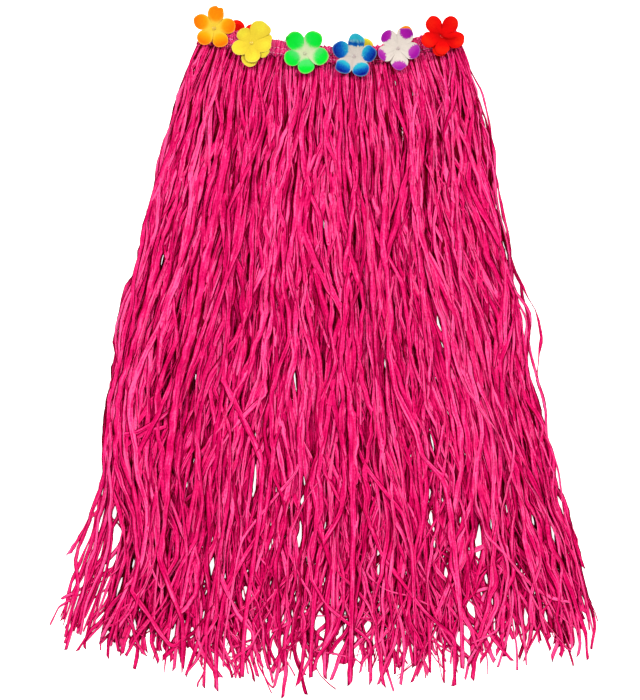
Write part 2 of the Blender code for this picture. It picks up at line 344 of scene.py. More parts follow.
CROSSING = (
    # width, then turning points: ribbons that lie across the others, and hang to the hem from there
    (1.2, ((-0.129, -0.048), (-0.11, -0.097))),
    (0.9, ((-0.068, -0.054), (-0.111, -0.099), (-0.142, -0.148))),
    (1.3, ((-0.119, -0.036), (-0.081, -0.112), (-0.071, -0.138))),
    (1.0, ((-0.03, -0.086), (-0.03, -0.148), (-0.071, -0.199), (-0.099, -0.236))),
    (0.9, ((-0.06, -0.17), (-0.07, -0.222), (-0.096, -0.262), (-0.118, -0.304))),
    (1.4, ((-0.199, -0.261), (-0.188, -0.293), (-0.17, -0.339), (-0.172, -0.367))),
    (1.3, ((0.12, -0.098), (0.129, -0.132), (0.158, -0.163), (0.166, -0.211))),
    (1.1, ((0.045, -0.111), (0.06, -0.146), (0.106, -0.204), (0.116, -0.248))),
    (1.4, ((0.066, -0.223), (0.078, -0.255), (0.132, -0.326), (0.17, -0.359))),
    (1.3, ((-0.011, -0.286), (0.009, -0.319), (0.065, -0.364))),
    (1.1, ((0.033, -0.161), (0.028, -0.201), (0.001, -0.247), (-0.005, -0.298))),
    (1.0, ((-0.183, -0.069), (-0.206, -0.088), (-0.229, -0.102), (-0.247, -0.103), (-0.261, -0.108))),
    (0.8, ((-0.196, -0.094), (-0.221, -0.102), (-0.239, -0.114), (-0.254, -0.13))),
    (0.9, ((0.278, -0.01), (0.3, -0.073), (0.315, -0.168), (0.31, -0.204), (0.323, -0.234),
           (0.318, -0.281))),
    (0.7, ((0.268, 0.000), (0.287, -0.073), (0.286, -0.104), (0.302, -0.15), (0.307, -0.195))),
    (1.0, ((0.264, -0.298), (0.283, -0.337), (0.318, -0.38))),
    (1.2, ((-0.085, 0.06), (-0.1, 0.02), (-0.135, -0.03), (-0.15, -0.08))),
    (1.2, ((-0.02, 0.15), (-0.005, 0.11), (0.03, 0.05), (0.036, 0.000))),
    (1.1, ((0.06, 0.19), (0.075, 0.14), (0.105, 0.085), (0.112, 0.03))),
)
LED_TWIST = 0.19            # how much these turn over, out of 1


def on_to_hem(turns, short):
    """Turning points that take a ribbon from its last one down its own lane to the hem."""
    across, up = turns[-1]
    share = (across - across_at(0.0, up)) / (across_at(1.0, up) - across_at(0.0, up))
    hem = along_curve(HEM, "share", "up", share) + short
    return tuple((across_at(share, height), height) for height in np.linspace(up, hem, 5)[1:])


def lead(layer):
    """Gives the nearest ribbon to each of these paths, and puts it last, so that it is laid on top."""
    across, up, at = (layer[key] for key in ("across", "up", "at"))
    for number, (width, turns) in enumerate(LED + CROSSING):
        if number >= len(LED):
            turns += on_to_hem(turns, 0.010 * (number % 4))
        turns = np.array(turns)
        start = np.abs(up - turns[0, 1]).argmin(1)
        chosen = np.abs(np.take_along_axis(across, start[:, None], 1)[:, 0] - turns[0, 0]).argmin()
        start = start[chosen]
        turns[:, 0] += (across[chosen, start] - turns[0, 0]) * np.linspace(1, 0, len(turns)) ** 3
        along = np.concatenate([[0], np.hypot(*np.diff(turns, axis=0).T).cumsum()])
        rest = np.linspace(0, along[-1], STATIONS - start)
        for path, column in ((across, 0), (up, 1)):
            led = np.interp(rest, along, turns[:, column])
            led[1:-1] = (led[:-2] + led[1:-1] + led[2:]) / 3
            path[chosen, start:] = led
        at[chosen, start:] = at[chosen, start] + rest
        layer["length"][chosen] = at[chosen, -1]
        layer["thin"][chosen] = width
        layer["calm"][chosen] = LED_TWIST
        last = -1 - number
        for rows in layer.values():
            rows[[chosen, last]] = rows[[last, chosen]]


def shape(layer, widths):
    """Half widths and creases: narrow where gathered, full lower down, thin where a ribbon turns over."""
    at = layer["at"]
    count = len(at)
    full = layer["thin"] * between(*widths, count)
    opening = 0.40 + 0.60 * ease(0.0, 0.18, at) - 0.24 * ease(0.45, 0.78, at)
    turning = 0.9 * about_nought(1, count) + wander(at, ((0.07, 0.16, 0.60), (0.20, 0.50, 0.9)))
    broad = np.abs(np.cos(layer["calm"] * turning))
    broad += 0.5 * (1 - broad) * ease(layer["length"] - 0.10, layer["length"] - 0.04, at)
    pointed = a_few(0.10, count)
    lost = np.where(pointed, between(0.55, 0.92, count), between(0, 0.25, count))
    reach = between(0.02, 0.10, count)
    end = np.clip(1 - (layer["length"] - at) / reach, 0, 1) * lost
    smoother = 1 - 0.5 * ease(0.4, 0.75, at)
    uneven = draw.normal(0, 0.11, at.shape) * smoother
    uneven += 0.7 * np.roll(uneven, 1, axis=1)
    layer["half"] = full * opening * (0.30 + 0.70 * broad) * (1 - end) * (1 + uneven)
    layer["cut"] = between(-1.8, 1.8, count)
    folded = 0.10 + 0.40 * np.sqrt(1 - broad**2) + between(0.0, 0.22, count)
    layer["rise"] = full * opening * folded
    layer["roll"] = wander(at, ((0.05, 0.14, 0.16), (0.2, 0.5, 0.26)))
    layer["fold"] = 0.9 + wander(at, ((0.05, 0.12, 0.24), (0.1, 0.3, 0.40)))
    layer["fold"] += draw.normal(0, 0.34, at.shape) * smoother**2
    crease = between(-0.5, 0.5, count) + wander(at, ((0.05, 0.12, 0.14), (0.15, 0.4, 0.20)))
    layer["crease"] = np.clip(crease, -0.75, 0.75)


CELL = 0.0015               # side of a cell in the map of the pile's height
CORNER = (-0.42, -0.52)     # where the map starts
FLOOR_OF_HEADING = 0.0037   # the ribbons start this high, over the back flowers
pile = np.zeros((560, 640))
rows_up = CORNER[1] + (np.arange(pile.shape[1]) + 0.5) * CELL
pile[:] = FLOOR_OF_HEADING * ease(0.27, 0.33, rows_up)[None, :]
FINE = 3                    # laying steps between two stations
STIFFNESS = np.exp(-0.5 * (np.arange(-7, 8) / 2.6) ** 2)
STIFFNESS /= STIFFNESS.sum()


def smoothed(values):
    return np.convolve(np.pad(values, len(STIFFNESS) // 2, mode="edge"), STIFFNESS, "valid")


def cells(x, y):
    """The map's cells that points are over."""
    columns = ((x - CORNER[0]) / CELL).astype(int).clip(0, pile.shape[0] - 1)
    rows = ((y - CORNER[1]) / CELL).astype(int).clip(0, pile.shape[1] - 1)
    return columns, rows


def lay(layer):
    """Lays a layer's ribbons one by one on the pile, each bridging the hollows between those below."""
    count, stations = layer["at"].shape
    coarse = np.arange(stations)
    fine = np.linspace(0, stations - 1, (stations - 1) * FINE + 1)
    layer["height"] = np.zeros((count, stations))
    for i in range(count):
        x, y, half, rise, at = (
            np.interp(fine, coarse, layer[key][i]) for key in ("across", "up", "half", "rise", "at")
        )
        dx = np.gradient(x)
        dy = np.gradient(y)
        run = np.hypot(dx, dy)
        side = np.array((-0.8, -0.4, 0.0, 0.4, 0.8))[:, None] * half
        over = cells(x + side * dy / run, y - side * dx / run)
        under = pile[over]
        support = 0.7 * under.max(0) + 0.3 * under.mean(0)
        z = support
        for _ in range(3):
            z = np.maximum(smoothed(z), 0.6 * support + 0.4 * z)
        z = smoothed(z)
        top = z + 0.0002 + 0.0004 * ease(0.02, 0.16, at) + 0.22 * rise
        np.maximum.at(pile, over, top[None, :])
        layer["height"][i] = z[::FINE]


def ribbon_mesh(name, layer):
    """A layer's ribbons as one mesh: a closed section, creased along its top, swept down each path."""
    across, up, at = layer["across"], layer["up"], layer["at"]
    half, roll, crease = layer["half"], layer["roll"], layer["crease"]
    count, stations = across.shape
    dx = np.gradient(across, axis=1)
    dy = np.gradient(up, axis=1)
    run = np.hypot(dx, dy)
    side = np.stack([dy / run, -dx / run, np.zeros_like(dx)], 2)
    lift = layer["fold"] * layer["rise"]
    flat = 0 * half
    section = ((-half, flat), (crease * half, lift), (half, flat), (crease * half, lift - PAPER))
    flattened = np.where(up > 0.30, 0.55 + 0.45 * ease(0.02, 0.07, at), 1.0)
    level = FLOOR_OF_HEADING + (layer["height"] - FLOOR_OF_HEADING) * flattened
    centre = np.stack([across, up, level + 0.0003 + half * np.abs(np.sin(roll))], 2)
    points = np.zeros((count, stations, CORNERS, 3))
    for corner, (out, high) in enumerate(section):
        aside = out * np.cos(roll) - high * np.sin(roll)
        points[:, :, corner] = centre + side * aside[:, :, None]
        points[:, :, corner, 2] += out * np.sin(roll) + high * np.cos(roll)
        points[:, -1, corner, :2] += np.stack([dx / run, dy / run], 2)[:, -1] * layer["cut"] * out[:, -1:]
    points[..., 2] = np.maximum(points[..., 2], 0.0001)
    index = np.arange(count * stations * CORNERS).reshape(count, stations, CORNERS)
    after = np.roll(index, -1, axis=2)
    quads = np.stack([index[:, :-1], index[:, 1:], after[:, 1:], after[:, :-1]], 3).reshape(-1, 4)
    ends = np.concatenate([
        index[:, end, corners] for end, corners in (
            (0, [0, 1, 3]), (0, [1, 2, 3]), (-1, [0, 3, 1]), (-1, [1, 3, 2]),
        )
    ])
    loops = np.concatenate([quads.ravel(), ends.ravel()])
    mesh = bpy.data.meshes.new(name)
    mesh.from_pydata(points.reshape(-1, 3), [], quads.tolist() + ends.tolist())
    shade = np.repeat(layer["shade"].ravel(), CORNERS)
    mesh.attributes.new("shade", "FLOAT", "POINT").data.foreach_set("value", shade)
    middle = 0.5 + 0.5 * crease
    uv = np.zeros((count, stations, CORNERS, 2))
    uv[..., 0] = np.stack([0 * middle, middle, 0 * middle + 1, middle], 2)
    uv[..., 0] += 2 * np.arange(count)[:, None, None]
    uv[..., 1] = at[:, :, None]
    mesh.uv_layers.new(name="ribbon").uv.foreach_set("vector", uv.reshape(-1, 2)[loops].ravel())
    mesh.shade_smooth()
    ends_of = np.zeros(len(mesh.edges) * 2, np.int32)
    mesh.edges.foreach_get("vertices", ends_of)
    ends_of = ends_of.reshape(-1, 2)
    lengthwise = (ends_of[:, 0] % CORNERS) == (ends_of[:, 1] % CORNERS)
    mesh.attributes.new("sharp_edge", "BOOLEAN", "EDGE").data.foreach_set("value", lengthwise)
    return mesh


def set_out(name, data):
    """Sets a mesh, a lamp or a camera in the scene."""
    thing = bpy.data.objects.new(name, data)
    bpy.context.scene.collection.objects.link(thing)
    return thing


def piece_of(name, mesh, finish):
    mesh.materials.append(finish)
    return set_out(name, mesh)


def start_finish(name):
    """A new finish and its shader."""
    made = bpy.data.materials.new(name)
    made.use_nodes = True
    return made, made.node_tree.nodes["Principled BSDF"]


def feed(made, node, inputs):
    """Links the inputs that are given another node's output, and sets the others."""
    for socket, value in inputs.items():
        if isinstance(value, bpy.types.NodeSocket):
            made.node_tree.links.new(value, node.inputs[socket])
        else:
            node.inputs[socket].default_value = value


def step(made, kind, inputs, output=0, **settings):
    """Adds a node to a finish, with its settings and inputs, and returns one of its outputs."""
    node = made.node_tree.nodes.new("ShaderNode" + kind)
    for setting, value in settings.items():
        setattr(node, setting, value)
    feed(made, node, inputs)
    return node.outputs[output]


def scaled(made, value, times, plus):
    return step(made, "Math", {0: value, 1: times, 2: plus}, operation="MULTIPLY_ADD")


def mottle(made, scale, detail=2.0):
    """Fine unevenness, fixed to the piece."""
    here = step(made, "TexCoord", {}, "Object")
    return step(made, "TexNoise", {"Vector": here, "Scale": scale, "Detail": detail})


def relief(made, height, strength, distance):
    return step(made, "Bump", {"Height": height, "Strength": strength, "Distance": distance})


def ramp(made, value, stops):
    """Colours from one end to the other, each at its place."""
    node = made.node_tree.nodes.new("ShaderNodeValToRGB")
    first, *between_them, last = stops
    for element, (place, colour) in zip(node.color_ramp.elements, (first, last)):
        element.position = place
        element.color = (*colour, 1)
    for place, colour in between_them:
        node.color_ramp.elements.new(place).color = (*colour, 1)
    feed(made, node, {"Fac": value})
    return node.outputs["Color"]


def raffia_finish():
    """Dyed paper raffia: streaked along its length, the pale streaks partly painted highlight, finely
    crinkled, with a soft sheen, and painted shade along its edges and deep in the pile.
    """
    made, shader = start_finish("raffia")
    place = step(made, "UVMap", {}, uv_map="ribbon")
    stretched = step(made, "Mapping", {"Vector": place, "Scale": (3.6, 30.0, 1.0)})
    streak_and_highlight = step(made, "TexNoise", {"Vector": stretched, "Scale": 1.0, "Detail": 3.0})
    crinkle = mottle(made, 380.0)
    tone = scaled(made, streak_and_highlight, 1.75, step(made, "Attribute", {}, "Fac", attribute_name="shade"))
    tone = scaled(made, crinkle, 0.50, tone)
    # Painted shade: a ribbon is darker towards both its edges.
    aside = step(made, "SeparateXYZ", {0: place}, "X")
    aside = step(made, "Math", {0: aside, 1: 0.5}, operation="PINGPONG")
    edge = step(made, "MapRange", {
        "Value": aside, "From Min": 0.0, "From Max": 0.18, "To Min": -1.20, "To Max": 0.0,
    })
    tone = step(made, "Math", {0: tone, 1: edge}, operation="ADD")
    # The pale top of this ramp is painted highlight, its dark foot painted shade.
    colour = ramp(made, tone, (
        (0.0, (0.12, 0.0000, 0.005)), (0.55, (0.60, 0.0018, 0.092)),
        (0.80, (0.74, 0.0220, 0.160)), (1.0, (0.87, 0.090, 0.27)),
    ))
    bump = relief(made, scaled(made, crinkle, 1.1, streak_and_highlight), 0.8, 0.0010)
    feed(made, shader, {
        "Base Color": colour, "Normal": bump, "Roughness": 0.45, "Specular IOR Level": 0.012,
    })
    return made


raffia = raffia_finish()
LAYERS = (
    # name, node, ribbons, straying in bunches, least and most cut off the hem, half widths,
    # widths put together
    ("raffia_back_lower", "raffia_back", 185, 0.10, (0.029, 0.090), (0.0042, 0.0060), 1.39),
    ("raffia_back_upper", "raffia_back", 150, 0.35, (0.022, 0.085), (0.0024, 0.0047), 0.76),
    ("raffia_front_lower", "raffia_front", 185, 1.0, (0.011, 0.078), (0.0022, 0.0047), 0.91),
    ("raffia_front_upper", "raffia_front", 210, 1.0, (-0.004, 0.067), (0.0022, 0.0047), 1.08),
)
layers = {}
for name, node, count, straying, cut, widths, spread_out in LAYERS:
    layer = hang(count, cut)
    stray(layer, straying)
    if node == "raffia_front":
        bow_out(layer)
    bend(layer)
    keep_in(layer)
    part(layer)
    if name == "raffia_front_upper":
        lead(layer)
    shape(layer, widths)
    lay(layer)
    layers[name] = layer

# A ribbon's tone: painted shade, darker the deeper it lies under the pile's averaged surface, and its own
# tint.
REACH = 4                   # cells either way over which the surface is averaged
total = np.pad(pile, ((REACH + 1, REACH), (REACH + 1, REACH)), mode="edge").cumsum(0).cumsum(1)
side = 2 * REACH + 1
surface = total[side:, side:] - total[:-side, side:] - total[side:, :-side] + total[:-side, :-side]
surface /= side**2
for name, node, count, straying, cut, widths, spread_out in LAYERS:
    layer = layers[name]
    dip = 0.0019 + 0.0026 * ease(0.33, 0.05, layer["up"])
    deep = surface[cells(layer["across"], layer["up"])] - layer["height"] - layer["rise"]
    # how much painted shade the deepest ribbons get, more towards the waist
    dark = 0.52 + 0.85 * ease(0.0, 0.27, layer["up"])
    base = -0.47 - 0.06 * ease(0.05, 0.2, layer["up"])
    tint = about_nought(0.18, count).clip(-0.5, 0.22)
    tint = np.where(layer["calm"] == LED_TWIST, np.maximum(tint, -0.04), tint)
    layer["shade"] = base + tint - dark * np.clip(deep / dip, -0.1, 1)
    piece = piece_of(name, ribbon_mesh(name, layer), raffia)
    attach(piece, "root")
    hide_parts(node)


# ------------------------------------------------------------
# Gathered heading: the top 20 mm of the raffia, drawn up into fine pleats by two rows of shirring,
# one strip in front and one behind. Its upper edge is a short frill. The thread is pale pink.
# ------------------------------------------------------------
BAND_HEIGHT = 0.020
PLEATS = 205
PLEAT_DEPTH = 0.0011
SHIRRING = (0.0098, 0.0166)     # how far below the top edge the two rows of thread run
STITCHES = 72                   # in a row
STITCH = (0.0021, 0.00045, 0.00045)     # half its length, width and height
BAND_PAPER = 0.0003
STRIPS = (
    # name, height over the floor, which way it faces
    ("back", 0.0050, -1), ("front", 0.0082, 1),
)
band_draw = np.random.default_rng(5)


def band_place(share, down):
    """A point of the heading: its share across, and how far below the top edge."""
    up = waist_up(share) - down
    return across_at(share, up), up


def band_level(share, base, outward):
    """The strip bends towards its other half at the two sides."""
    return base - outward * 0.0010 * np.abs(2 * share - 1) ** 8


def smooth_mesh(name, shape_made):
    """Turns a finished bmesh into a smooth mesh."""
    mesh = bpy.data.meshes.new(name)
    shape_made.to_mesh(mesh)
    shape_made.free()
    mesh.shade_smooth()
    return mesh


def thicken(piece, name, thickness, offset):
    wall = piece.modifiers.new(name, "SOLIDIFY")
    wall.thickness = thickness
    wall.offset = offset


def heading(name, base, outward):
    """One pleated strip, a fine grid folded to the pleats and nipped in by the thread."""
    strip = bmesh.new()
    bmesh.ops.create_grid(strip, x_segments=4 * PLEATS, y_segments=14, size=0.5)
    share = np.array([vert.co.x for vert in strip.verts]) + 0.5
    down = (0.5 - np.array([vert.co.y for vert in strip.verts])) * BAND_HEIGHT
    nipped = sum(hump(down - row, 0.0015) for row in SHIRRING)
    frill = np.clip(1 - down / 0.007, 0, 1)
    pleats = np.arange(PLEATS + 1)
    place = share * PLEATS

    def uneven(size):
        return np.interp(place, pleats, band_draw.normal(0, size, PLEATS + 1))

    sway = uneven(0.0005) * np.sin(down * 420) + uneven(0.0004) * np.sin(down * 900 + 1)
    rounded = np.abs(np.sin(math.pi * place))
    depth = PLEAT_DEPTH * (1 + uneven(0.30)) * (1 - 0.60 * nipped) * (1 + 0.35 * frill)
    height = band_level(share, base, outward) + outward * (depth * rounded + frill * uneven(0.0006))
    height -= outward * 0.0004 * nipped
    across, up = band_place(share, down)
    up = up + frill**2 * uneven(0.0012) + ease(0.016, 0.020, down) * uneven(0.0014)
    height -= outward * 0.0016 * ease(0.0168, 0.0200, down)
    for vert, x, y, z in zip(strip.verts, across + sway, up, height):
        vert.co = (x, y, z)
    # tone: uneven from pleat to pleat, lighter along the frill, darker along the rows of thread
    shade = strip.verts.layers.float.new("shade")
    for vert, value in zip(strip.verts, -0.16 + uneven(0.16) + 0.12 * frill - 0.15 * nipped):
        vert[shade] = value
    # the raffia finish darkens each whole number across this map: painted shade in the valleys between
    # pleats
    ribbon = strip.loops.layers.uv.new("ribbon")
    for face in strip.faces:
        for loop in face.loops:
            loop[ribbon].uv = (place[loop.vert.index], down[loop.vert.index])
    if outward < 0:
        bmesh.ops.reverse_faces(strip, faces=strip.faces[:])
    piece = piece_of(name, smooth_mesh(name, strip), raffia)
    thicken(piece, "paper", BAND_PAPER, -1)
    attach(piece, "root")
    return piece


def shirring(name, base, outward):
    """The two rows of thread: small stitches, one mesh."""
    stitches = bmesh.new()
    for row in SHIRRING:
        for i in range(STITCHES):
            share = (i + 0.5) / STITCHES + band_draw.normal(0, 0.0008)
            x, y = band_place(share, row + band_draw.normal(0, 0.00025))
            after = band_place(share + 0.003, row)
            slope = math.atan2(after[1] - y, after[0] - x) + band_draw.normal(0, 0.06)
            z = band_level(share, base, outward) + outward * (0.45 * PLEAT_DEPTH + 0.0001)
            place = Matrix.Translation((x, y, z)) @ Matrix.Rotation(slope, 4, "Z")
            size = Matrix.Diagonal((*STITCH, 1))
            bmesh.ops.create_uvsphere(stitches, u_segments=6, v_segments=5, radius=1, matrix=place @ size)
    piece = piece_of(name, smooth_mesh(name, stitches), thread)
    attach(piece, "root")
    return piece


def thread_finish():
    """Matt pale pink sewing thread."""
    made, shader = start_finish("thread")
    colour = ramp(made, mottle(made, 1500.0), ((0.0, (0.74, 0.16, 0.36)), (1.0, (0.84, 0.42, 0.58))))
    feed(made, shader, {"Base Color": colour, "Roughness": 0.7})
    return made


thread = thread_finish()
for side_name, base, outward in STRIPS:
    strip = heading("heading_" + side_name, base, outward)
    threads = shirring("shirring_" + side_name, base, outward)
    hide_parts("waistband_" + side_name)


# ------------------------------------------------------------
# Garland: six cloth flowers in front and six behind, stamped from thin polyester, dyed from the
# tips and fixed through their middles. The yellow and the red front ones have a layer beneath.
# ------------------------------------------------------------
CLOTH = 0.0004
FLOWER_RADIUS = 0.0275
FLOWER_CUP = 0.005          # how far the tips of the front flowers stand up
LOW_FLOWER, HIGH_FLOWER, FRONT_FLOWER, SECOND_LAYER = 0.0014, 0.0027, 0.0095, 0.0117
PETAL_STEPS = 20            # points round each petal
RINGS = (0.0, 0.12, 0.25, 0.38, 0.50, 0.60, 0.70, 0.78, 0.85, 0.91, 0.955, 0.985, 1.0)
EVEN = (FLOWER_RADIUS,) * 5
FLOWERS = (
    # name, across, up, turn in degrees, height, petal lengths from the one at its turn, anticlockwise
    ("orange_front", -0.1313, 0.4044, 10, FRONT_FLOWER, (0.027, 0.0275, 0.027, 0.0265, 0.0265)),
    ("yellow_under", -0.083, 0.3835, -30, FRONT_FLOWER, (0.023, 0.024, 0.02, 0.023, 0.028)),
    ("yellow_front", -0.0845, 0.3858, -12, SECOND_LAYER, (0.023, 0.0295, 0.022, 0.026, 0.025)),
    ("green_front", -0.0175, 0.3731, -14, FRONT_FLOWER, (0.03, 0.03, 0.031, 0.0275, 0.0265)),
    ("blue_front", 0.0438, 0.3694, 9, FRONT_FLOWER, (0.028, 0.028, 0.029, 0.028, 0.0285)),
    ("purple_front", 0.0988, 0.3794, -12, FRONT_FLOWER, (0.028, 0.0275, 0.027, 0.027, 0.028)),
    ("red_under", 0.153, 0.3937, -25, FRONT_FLOWER, (0.023, 0.023, 0.023, 0.023, 0.025)),
    ("red_front", 0.1538, 0.3944, -18, SECOND_LAYER, (0.029, 0.027, 0.028, 0.027, 0.024)),
    ("red_back", -0.0975, 0.3905, 38, LOW_FLOWER, EVEN),
    ("purple_back", -0.0613, 0.364, 0, HIGH_FLOWER, EVEN),
    ("blue_back", -0.0238, 0.357, 16, LOW_FLOWER, EVEN),
    ("green_back", 0.0163, 0.3545, -8, HIGH_FLOWER, EVEN),
    ("yellow_back", 0.0545, 0.3665, 8, LOW_FLOWER, EVEN),
    ("orange_back", 0.1053, 0.3818, 8, HIGH_FLOWER, EVEN),
)
STYLES = {
    # A petal is a round lobe, and its dye a round patch. lobe: its radius over its centre's distance;
    # out: the patch's centre over the lobe's; size: its radius over the lobe's; soft: the width of its
    # edge; lean: its shift; ragged: how uneven its edge is; fade: how slowly the dye thins out there
    "orange": (0.592, 1.14, 1.00, 0.42, (0.0, -0.05), 0.10, 0.50),
    "yellow": (0.640, 1.20, 0.70, 0.50, (0.0, 0.10), 0.30, 0.50),
    "green": (0.620, 1.26, 1.22, 0.42, (0.10, 0.05), 0.60, 0.42),
    "blue": (0.605, 1.20, 1.04, 0.22, (0.0, -0.04), 0.50, 0.25),
    "purple": (0.625, 1.50, 0.94, 0.40, (-0.14, -0.10), 1.10, 0.16),
    "red": (0.592, 1.10, 0.90, 0.60, (0.15, 0.25), 0.20, 0.50),
}
TINTS = {
    # the undyed cloth and the cut edge, then the dye from where it is thinnest to where it is deepest
    "orange": ((0.66, 0.44, 0.034), (0.74, 0.46, 0.05),
               ((0.72, 0.31, 0.002), (0.74, 0.215, 0.001), (0.76, 0.13, 0.0005))),
    "yellow": ((0.62, 0.46, 0.028), (0.76, 0.64, 0.16),
               ((0.66, 0.50, 0.028), (0.66, 0.52, 0.030), (0.65, 0.56, 0.034))),
    "green": ((0.47, 0.53, 0.31), (0.48, 0.62, 0.26),
              ((0.05, 0.54, 0.10), (0.003, 0.56, 0.034), (0.001, 0.56, 0.018))),
    "blue": ((0.47, 0.415, 0.37), (0.20, 0.44, 0.52),
             ((0.018, 0.34, 0.43), (0.001, 0.075, 0.34), (0.0006, 0.003, 0.16))),
    "purple": ((0.55, 0.485, 0.43), (0.52, 0.44, 0.44),
               ((0.36, 0.035, 0.31), (0.28, 0.006, 0.26), (0.20, 0.003, 0.21))),
    "red": ((0.56, 0.0006, 0.0012), (0.66, 0.010, 0.003),
            ((0.60, 0.0008, 0.0012), (0.63, 0.0016, 0.0014), (0.66, 0.010, 0.002))),
}
NICKS = (
    # flower, bearing in degrees, how deep, how wide in degrees: cut or bent places of an outline
    ("orange_front", 76, 0.0018, 4), ("orange_front", 103, -0.0006, 6), ("orange_front", 63, -0.0022, 6),
    ("green_front", 143, -0.0022, 3), ("yellow_front", 22, -0.0090, 20), ("yellow_front", -14, -0.0020, 14),
)
STUD_GAP = 0.0001           # between a front flower and its stud
STUD_DEPTH = 0.0003         # from a back flower down to its stud
petal_draw = np.random.default_rng(23)


def petal_finish(colour):
    """Thin dyed polyester: the dye patch and its depth, the cut edge, and painted shade in its creases,
    notches and folds.
    """
    cloth, cut, dyes = TINTS[colour]
    *_, ragged, fade = STYLES[colour]
    made, shader = start_finish(colour + "_petal")
    patchy = mottle(made, 620.0, 3.0)
    dyed, depth, edge, shade = (
        step(made, "Attribute", {}, "Fac", attribute_name=value)
        for value in ("dyed", "depth", "cut", "shade")
    )
    soaked = step(made, "MapRange", {
        "Value": scaled(made, patchy, ragged, dyed),
        "From Min": 0.5 + 0.5 * ragged - fade, "From Max": 0.5 + 0.5 * ragged + fade,
    }, interpolation_type="SMOOTHSTEP")
    dye = ramp(made, scaled(made, patchy, 0.5, depth), tuple(zip((0.25, 0.62, 1.0), dyes)))
    dipped = step(made, "Mix", {"Factor": soaked, "A": (*cloth, 1), "B": dye}, "Result", data_type="RGBA")
    edged = step(made, "Mix", {"Factor": edge, "A": dipped, "B": (*cut, 1)}, "Result", data_type="RGBA")
    # the painted shade, with a fine mottle, scales the colour
    light = scaled(made, patchy, 0.16, shade)
    toned = step(made, "VectorMath", {0: edged, "Scale": light}, operation="SCALE")
    weave = relief(made, mottle(made, 1600.0), 0.35, 0.0004)
    feed(made, shader, {
        "Base Color": toned, "Normal": weave, "Roughness": 0.78, "Specular IOR Level": 0.04,
    })
    return made


def spun(profile, steps):
    """A profile of (distance out, height) turned once round an upright axis."""
    turned = bmesh.new()
    spoke = [turned.verts.new((out, 0.0, high)) for out, high in profile]
    edges = [turned.edges.new(pair) for pair in zip(spoke, spoke[1:])]
    bmesh.ops.spin(
        turned, geom=spoke + edges, cent=(0, 0, 0), axis=(0, 0, 1),
        angle=math.tau, steps=steps, use_merge=True,
    )
    bmesh.ops.remove_doubles(turned, verts=turned.verts[:], dist=1e-6)
    return turned


def turned_to(x, y, degrees):
    """How far points lie along a direction, and how far aside of it."""
    tilt = math.radians(degrees)
    return x * math.cos(tilt) + y * math.sin(tilt), y * math.cos(tilt) - x * math.sin(tilt)


def lobed(name, turn, petals, disc):
    """Draws a round disc out into five lobes: where each of its points then stands in its petal."""
    p = SimpleNamespace()
    raw = np.array([vert.co for vert in disc.verts])
    p.share = np.hypot(raw[:, 0], raw[:, 1])
    toward = np.arctan2(raw[:, 1], raw[:, 0]) * 5 / math.tau
    p.petal = np.round(toward).astype(int)
    p.off = 2 * (toward - p.petal)
    p.angle = math.radians(36) * (1.5 * p.off - 0.5 * p.off**3)
    lengths = np.array(petals)
    neighbour = lengths[(p.petal + np.sign(p.off).astype(int)) % 5]
    length = lengths[p.petal % 5] + (neighbour - lengths[p.petal % 5]) * 0.5 * p.off**2
    lobe = STYLES[name.split("_")[0]][0]
    reach = length * (np.cos(p.angle) + np.sqrt(lobe**2 - np.sin(p.angle) ** 2)) / (1 + lobe)
    p.bearing = math.tau / 5 * p.petal + p.angle + math.radians(turn)
    wavy = petal_draw.normal(0, 0.7, 31)
    wavy[-1] = wavy[0]
    reach = reach + 0.0007 * np.interp(p.bearing % math.tau, np.linspace(0, math.tau, 31), wavy)
    for nick_name, at, deep, wide in NICKS:
        if nick_name == name:
            away = (p.bearing - math.radians(at) + math.pi) % math.tau - math.pi
            reach = reach - deep * hump(away, math.radians(wide))
    p.reach = reach
    p.out = reach * p.share
    p.x = p.out * np.cos(p.bearing)
    p.y = p.out * np.sin(p.bearing)
    p.centre = length / (1 + lobe)
    p.lobe_radius = p.centre * lobe
    return p


def stand(p, in_front):
    """How the cloth stands: dished, each petal domed and lifted a little differently, with creases."""
    lift = petal_draw.normal(0, 0.0006, 5)[p.petal % 5]
    dome = petal_draw.normal(0.0008, 0.0003, 5)[p.petal % 5]
    dx = p.out * np.cos(p.angle) - p.centre
    dy = p.out * np.sin(p.angle)
    in_lobe = np.hypot(dx, dy) / p.lobe_radius
    folds = lift * p.share**2 + dome * np.clip(1 - in_lobe**2, 0, 1)
    folds += 0.0004 * p.share**3 * np.sin(9 * p.bearing + petal_draw.uniform(0, 6))
    p.crease = np.zeros_like(p.share)
    for _ in range(11):
        at = petal_draw.uniform(0, math.tau)
        away = ((p.bearing - at + math.pi) % math.tau - math.pi) * p.out
        first = petal_draw.uniform(0.12, 0.4)
        last = petal_draw.uniform(0.5, 1.0)
        run = np.clip((p.share - first) / 0.1, 0, 1) * np.clip((last - p.share) / 0.15, 0, 1)
        size = petal_draw.uniform(0.3, 1.0)
        p.crease += size * run * hump(away, petal_draw.uniform(0.0007, 0.0016))
    folds -= 0.0005 * p.crease
    if in_front:
        p.z = FLOWER_CUP * (p.out / FLOWER_RADIUS) ** 2 + folds
    else:
        p.z = 0.25 * folds


